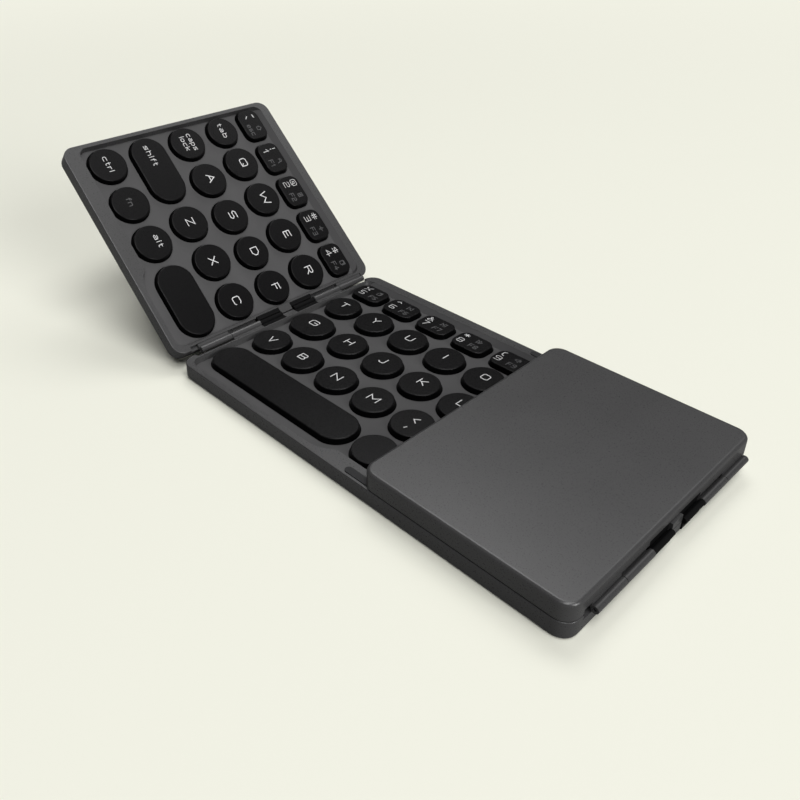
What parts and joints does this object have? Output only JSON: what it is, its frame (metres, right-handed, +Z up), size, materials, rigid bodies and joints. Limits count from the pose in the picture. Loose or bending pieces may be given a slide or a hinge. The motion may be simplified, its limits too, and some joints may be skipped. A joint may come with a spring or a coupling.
{
  "type": "tri-fold keyboard",
  "caption": "Pocket keyboard in three hinged panels: keys on the left and middle ones, a touchpad on the right one, which is folded shut.",
  "frame": {"origin": "centre of the flat underside of the middle panel", "axes": "+X to the right hinge, +Y to the back edge behind the number keys, +Z up; both hinge axes run along +Y"},
  "size_m": [0.2397, 0.098, 0.0675],
  "materials": {
    "keycap": "satin",
    "deck": "matte",
    "frame": "satin",
    "cover": "matte",
    "hinge": "satin",
    "steel": "satin",
    "boot_rubber": "matte",
    "pad_rubber": "matte",
    "board": "satin",
    "touch_glass": "satin",
    "cell_foil": "satin",
    "port_metal": "satin"
  },
  "bodies": {
    "base": {"mid_top_frame": "frame", "mid_key_deck": "deck", "mid_bottom_cover": "cover", "mid_circuit_board": "board", "mid_dome_sheet": "boot_rubber", "bumper_pads": "pad_rubber", "mid_screws": "steel", "mid_hinge_arms": "hinge", "hinge_pins": "steel", "hinge_boots": "boot_rubber"},
    "left_panel": {"left_top_frame": "frame", "left_key_deck": "deck", "left_bottom_cover": "cover", "left_circuit_board": "board", "left_dome_sheet": "boot_rubber", "left_hinge_arms": "hinge", "left_hinge_liner": "boot_rubber"},
    "right_panel": {"right_top_frame": "frame", "right_bottom_cover": "cover", "touchpad": "touch_glass", "touchpad_board": "board", "battery_cell": "cell_foil", "controller_board": "board", "charging_port": "port_metal", "right_hinge_arms": "hinge", "right_hinge_liner": "boot_rubber"},
    "body_key_backquote": {"key_backquote": "keycap"},
    "body_key_1": {"key_1": "keycap"},
    "body_key_2": {"key_2": "keycap"},
    "body_key_3": {"key_3": "keycap"},
    "body_key_4": {"key_4": "keycap"},
    "body_key_tab": {"key_tab": "keycap"},
    "body_key_q": {"key_q": "keycap"},
    "body_key_w": {"key_w": "keycap"},
    "body_key_e": {"key_e": "keycap"},
    "body_key_r": {"key_r": "keycap"},
    "body_key_caps": {"key_caps": "keycap"},
    "body_key_a": {"key_a": "keycap"},
    "body_key_s": {"key_s": "keycap"},
    "body_key_d": {"key_d": "keycap"},
    "body_key_f": {"key_f": "keycap"},
    "body_key_shift": {"key_shift": "keycap"},
    "body_key_z": {"key_z": "keycap"},
    "body_key_x": {"key_x": "keycap"},
    "body_key_c": {"key_c": "keycap"},
    "body_key_ctrl": {"key_ctrl": "keycap"},
    "body_key_fn": {"key_fn": "keycap"},
    "body_key_alt": {"key_alt": "keycap"},
    "body_key_space_left": {"key_space_left": "keycap"},
    "body_keys_mid_numbers": {"keys_mid_numbers": "keycap"},
    "body_keys_mid_top": {"keys_mid_top": "keycap"},
    "body_keys_mid_home": {"keys_mid_home": "keycap"},
    "body_keys_mid_lower": {"keys_mid_lower": "keycap"},
    "body_key_enter": {"key_enter": "keycap"},
    "body_key_space_right": {"key_space_right": "keycap"},
    "body_keys_mid_modifiers": {"keys_mid_modifiers": "keycap"},
    "body_key_up": {"key_up": "keycap"},
    "body_key_left": {"key_left": "keycap"},
    "body_key_down": {"key_down": "keycap"},
    "body_key_right": {"key_right": "keycap"}
  },
  "joints": [
    {"name": "left_hinge", "type": "hinge", "parent": "base", "child": "left_panel", "pos_m": [-0.0828, 0, 0.0062], "axis": [0, 1, 0], "range_deg": [-41.6, 138.4]},
    {"name": "right_hinge", "type": "hinge", "parent": "base", "child": "right_panel", "pos_m": [0.0828, 0, 0.0062], "axis": [0, 1, 0], "range_deg": [0, 180]},
    {"name": "press_backquote", "type": "slide", "parent": "left_panel", "child": "body_key_backquote", "axis": [0.6639, 0, 0.7478], "range_m": [-0.001, 0], "stiffness_N_per_m": 500, "springref_m": 0.0003},
    {"name": "press_1", "type": "slide", "parent": "left_panel", "child": "body_key_1", "axis": [0.6639, 0, 0.7478], "range_m": [-0.001, 0], "stiffness_N_per_m": 500, "springref_m": 0.0003},
    {"name": "press_2", "type": "slide", "parent": "left_panel", "child": "body_key_2", "axis": [0.6639, 0, 0.7478], "range_m": [-0.001, 0], "stiffness_N_per_m": 500, "springref_m": 0.0003},
    {"name": "press_3", "type": "slide", "parent": "left_panel", "child": "body_key_3", "axis": [0.6639, 0, 0.7478], "range_m": [-0.001, 0], "stiffness_N_per_m": 500, "springref_m": 0.0003},
    {"name": "press_4", "type": "slide", "parent": "left_panel", "child": "body_key_4", "axis": [0.6639, 0, 0.7478], "range_m": [-0.001, 0], "stiffness_N_per_m": 500, "springref_m": 0.0003},
    {"name": "press_tab", "type": "slide", "parent": "left_panel", "child": "body_key_tab", "axis": [0.6639, 0, 0.7478], "range_m": [-0.001, 0], "stiffness_N_per_m": 500, "springref_m": 0.0003},
    {"name": "press_q", "type": "slide", "parent": "left_panel", "child": "body_key_q", "axis": [0.6639, 0, 0.7478], "range_m": [-0.001, 0], "stiffness_N_per_m": 500, "springref_m": 0.0003},
    {"name": "press_w", "type": "slide", "parent": "left_panel", "child": "body_key_w", "axis": [0.6639, 0, 0.7478], "range_m": [-0.001, 0], "stiffness_N_per_m": 500, "springref_m": 0.0003},
    {"name": "press_e", "type": "slide", "parent": "left_panel", "child": "body_key_e", "axis": [0.6639, 0, 0.7478], "range_m": [-0.001, 0], "stiffness_N_per_m": 500, "springref_m": 0.0003},
    {"name": "press_r", "type": "slide", "parent": "left_panel", "child": "body_key_r", "axis": [0.6639, 0, 0.7478], "range_m": [-0.001, 0], "stiffness_N_per_m": 500, "springref_m": 0.0003},
    {"name": "press_caps", "type": "slide", "parent": "left_panel", "child": "body_key_caps", "axis": [0.6639, 0, 0.7478], "range_m": [-0.001, 0], "stiffness_N_per_m": 500, "springref_m": 0.0003},
    {"name": "press_a", "type": "slide", "parent": "left_panel", "child": "body_key_a", "axis": [0.6639, 0, 0.7478], "range_m": [-0.001, 0], "stiffness_N_per_m": 500, "springref_m": 0.0003},
    {"name": "press_s", "type": "slide", "parent": "left_panel", "child": "body_key_s", "axis": [0.6639, 0, 0.7478], "range_m": [-0.001, 0], "stiffness_N_per_m": 500, "springref_m": 0.0003},
    {"name": "press_d", "type": "slide", "parent": "left_panel", "child": "body_key_d", "axis": [0.6639, 0, 0.7478], "range_m": [-0.001, 0], "stiffness_N_per_m": 500, "springref_m": 0.0003},
    {"name": "press_f", "type": "slide", "parent": "left_panel", "child": "body_key_f", "axis": [0.6639, 0, 0.7478], "range_m": [-0.001, 0], "stiffness_N_per_m": 500, "springref_m": 0.0003},
    {"name": "press_shift", "type": "slide", "parent": "left_panel", "child": "body_key_shift", "axis": [0.6639, 0, 0.7478], "range_m": [-0.001, 0], "stiffness_N_per_m": 500, "springref_m": 0.0003},
    {"name": "press_z", "type": "slide", "parent": "left_panel", "child": "body_key_z", "axis": [0.6639, 0, 0.7478], "range_m": [-0.001, 0], "stiffness_N_per_m": 500, "springref_m": 0.0003},
    {"name": "press_x", "type": "slide", "parent": "left_panel", "child": "body_key_x", "axis": [0.6639, 0, 0.7478], "range_m": [-0.001, 0], "stiffness_N_per_m": 500, "springref_m": 0.0003},
    {"name": "press_c", "type": "slide", "parent": "left_panel", "child": "body_key_c", "axis": [0.6639, 0, 0.7478], "range_m": [-0.001, 0], "stiffness_N_per_m": 500, "springref_m": 0.0003},
    {"name": "press_ctrl", "type": "slide", "parent": "left_panel", "child": "body_key_ctrl", "axis": [0.6639, 0, 0.7478], "range_m": [-0.001, 0], "stiffness_N_per_m": 500, "springref_m": 0.0003},
    {"name": "press_fn", "type": "slide", "parent": "left_panel", "child": "body_key_fn", "axis": [0.6639, 0, 0.7478], "range_m": [-0.001, 0], "stiffness_N_per_m": 500, "springref_m": 0.0003},
    {"name": "press_alt", "type": "slide", "parent": "left_panel", "child": "body_key_alt", "axis": [0.6639, 0, 0.7478], "range_m": [-0.001, 0], "stiffness_N_per_m": 500, "springref_m": 0.0003},
    {"name": "press_space_left", "type": "slide", "parent": "left_panel", "child": "body_key_space_left", "axis": [0.6639, 0, 0.7478], "range_m": [-0.001, 0], "stiffness_N_per_m": 500, "springref_m": 0.0003},
    {"name": "press_mid_numbers", "type": "slide", "parent": "base", "child": "body_keys_mid_numbers", "axis": [0, 0, 1], "range_m": [-0.001, 0], "stiffness_N_per_m": 800, "springref_m": 0.0003},
    {"name": "press_mid_top", "type": "slide", "parent": "base", "child": "body_keys_mid_top", "axis": [0, 0, 1], "range_m": [-0.001, 0], "stiffness_N_per_m": 800, "springref_m": 0.0003},
    {"name": "press_mid_home", "type": "slide", "parent": "base", "child": "body_keys_mid_home", "axis": [0, 0, 1], "range_m": [-0.001, 0], "stiffness_N_per_m": 800, "springref_m": 0.0003},
    {"name": "press_mid_lower", "type": "slide", "parent": "base", "child": "body_keys_mid_lower", "axis": [0, 0, 1], "range_m": [-0.001, 0], "stiffness_N_per_m": 800, "springref_m": 0.0003},
    {"name": "press_enter", "type": "slide", "parent": "base", "child": "body_key_enter", "axis": [0, 0, 1], "range_m": [-0.001, 0], "stiffness_N_per_m": 800, "springref_m": 0.0003},
    {"name": "press_space_right", "type": "slide", "parent": "base", "child": "body_key_space_right", "axis": [0, 0, 1], "range_m": [-0.001, 0], "stiffness_N_per_m": 800, "springref_m": 0.0003},
    {"name": "press_mid_modifiers", "type": "slide", "parent": "base", "child": "body_keys_mid_modifiers", "axis": [0, 0, 1], "range_m": [-0.001, 0], "stiffness_N_per_m": 800, "springref_m": 0.0003},
    {"name": "press_up", "type": "slide", "parent": "base", "child": "body_key_up", "axis": [0, 0, 1], "range_m": [-0.001, 0], "stiffness_N_per_m": 800, "springref_m": 0.0003},
    {"name": "press_left", "type": "slide", "parent": "base", "child": "body_key_left", "axis": [0, 0, 1], "range_m": [-0.001, 0], "stiffness_N_per_m": 800, "springref_m": 0.0003},
    {"name": "press_down", "type": "slide", "parent": "base", "child": "body_key_down", "axis": [0, 0, 1], "range_m": [-0.001, 0], "stiffness_N_per_m": 800, "springref_m": 0.0003},
    {"name": "press_right", "type": "slide", "parent": "base", "child": "body_key_right", "axis": [0, 0, 1], "range_m": [-0.001, 0], "stiffness_N_per_m": 800, "springref_m": 0.0003}
  ]
}
